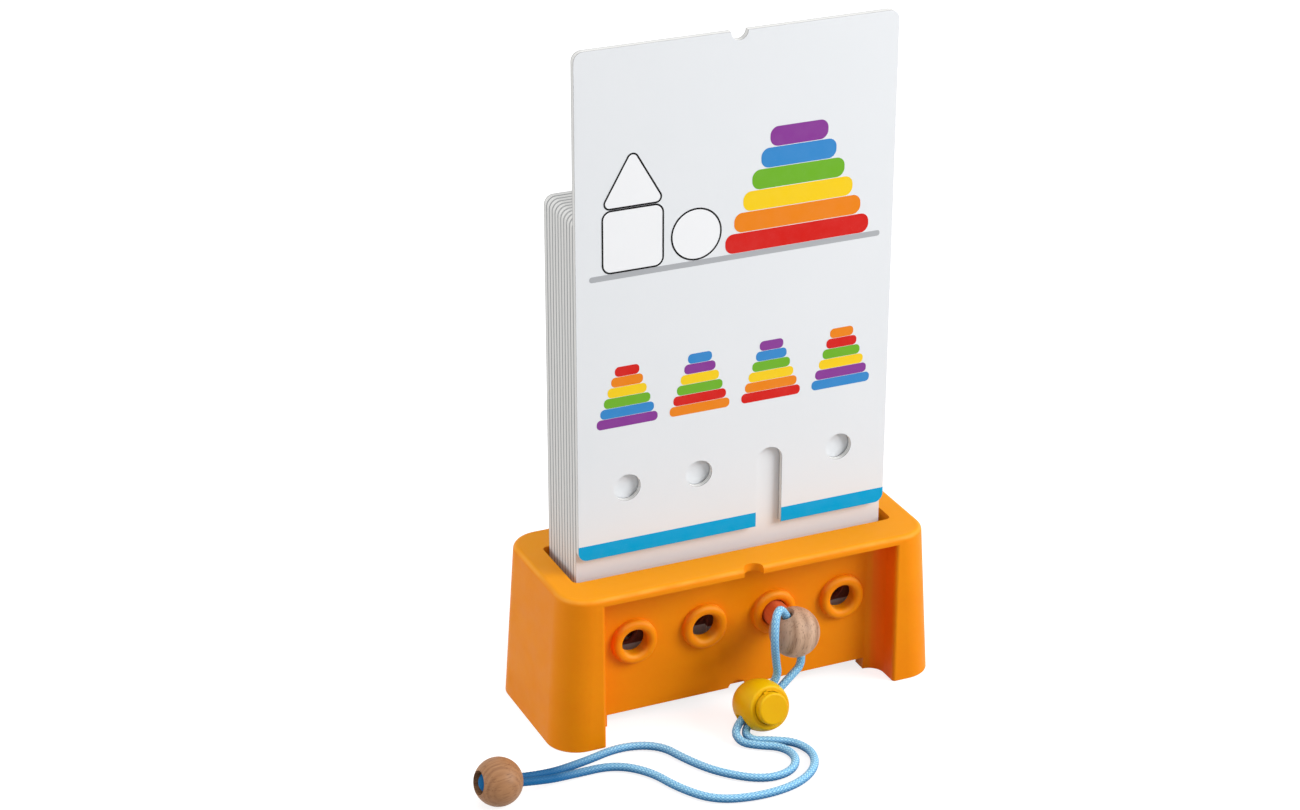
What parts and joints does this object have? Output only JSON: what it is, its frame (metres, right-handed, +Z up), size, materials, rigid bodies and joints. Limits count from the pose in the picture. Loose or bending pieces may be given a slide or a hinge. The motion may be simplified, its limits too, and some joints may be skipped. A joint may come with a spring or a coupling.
{
  "type": "logic case puzzle game",
  "caption": "Orange moulded card case for a logic puzzle game, with thick answer cards and a wooden peg on a braided cord.",
  "frame": {"origin": "centre of the case's footprint, on the table it stands on", "axes": "+Z up, the way the cards lift; -Y out of the front panel with the answer holes; +X to the right seen from the front"},
  "size_m": [0.1654, 0.1006, 0.2193],
  "materials": {
    "holder_plastic": "satin moulded",
    "card_board": "printed and varnished",
    "painted_wood": "painted satin",
    "beech": "natural, waxed",
    "cord_braid": "braided",
    "lock_plastic": "satin moulded",
    "spring_steel": "drawn wire"
  },
  "bodies": {
    "case": {"holder": "holder_plastic"},
    "front_card": {"card_01": "card_board"},
    "stack_card_02": {"card_02": "card_board"},
    "stack_card_03": {"card_03": "card_board"},
    "stack_card_04": {"card_04": "card_board"},
    "stack_card_05": {"card_05": "card_board"},
    "stack_card_06": {"card_06": "card_board"},
    "stack_card_07": {"card_07": "card_board"},
    "stack_card_08": {"card_08": "card_board"},
    "stack_card_09": {"card_09": "card_board"},
    "stack_card_10": {"card_10": "card_board"},
    "stack_card_11": {"card_11": "card_board"},
    "peg": {"peg_dowel": "painted_wood", "peg_ball": "beech", "cord_drop_left": "cord_braid", "cord_drop_right": "cord_braid", "cord_strand_inner": "cord_braid", "cord_strand_outer": "cord_braid", "cord_lock_body": "lock_plastic", "cord_lock_spring": "spring_steel", "end_bead": "beech", "cord_knot": "cord_braid"},
    "lock_button": {"cord_lock_button": "lock_plastic"}
  },
  "joints": [
    {"name": "front_card_lift", "type": "slide", "parent": "case", "child": "front_card", "axis": [0, 0, 1], "range_m": [-0.0508, 0.02]},
    {"name": "stack_card_02_lift", "type": "slide", "parent": "case", "child": "stack_card_02", "axis": [0, 0, 1], "range_m": [0, 0.0716]},
    {"name": "stack_card_03_lift", "type": "slide", "parent": "case", "child": "stack_card_03", "axis": [0, 0, 1], "range_m": [0, 0.0716]},
    {"name": "stack_card_04_lift", "type": "slide", "parent": "case", "child": "stack_card_04", "axis": [0, 0, 1], "range_m": [0, 0.0716]},
    {"name": "stack_card_05_lift", "type": "slide", "parent": "case", "child": "stack_card_05", "axis": [0, 0, 1], "range_m": [0, 0.0716]},
    {"name": "stack_card_06_lift", "type": "slide", "parent": "case", "child": "stack_card_06", "axis": [0, 0, 1], "range_m": [0, 0.0716]},
    {"name": "stack_card_07_lift", "type": "slide", "parent": "case", "child": "stack_card_07", "axis": [0, 0, 1], "range_m": [0, 0.0716]},
    {"name": "stack_card_08_lift", "type": "slide", "parent": "case", "child": "stack_card_08", "axis": [0, 0, 1], "range_m": [0, 0.0716]},
    {"name": "stack_card_09_lift", "type": "slide", "parent": "case", "child": "stack_card_09", "axis": [0, 0, 1], "range_m": [0, 0.0716]},
    {"name": "stack_card_10_lift", "type": "slide", "parent": "case", "child": "stack_card_10", "axis": [0, 0, 1], "range_m": [0, 0.0716]},
    {"name": "stack_card_11_lift", "type": "slide", "parent": "case", "child": "stack_card_11", "axis": [0, 0, 1], "range_m": [0, 0.0716]},
    {"name": "peg_pull", "type": "slide", "parent": "case", "child": "peg", "axis": [0, -1, 0], "range_m": [0, 0.03]},
    {"name": "lock_button_press", "type": "slide", "parent": "peg", "child": "lock_button", "axis": [-0.075, 0.9504, -0.3018], "range_m": [0, 0.002], "stiffness_N_per_m": 500, "springref_m": -0.003, "deforming": ["cord_lock_spring"]}
  ]
}
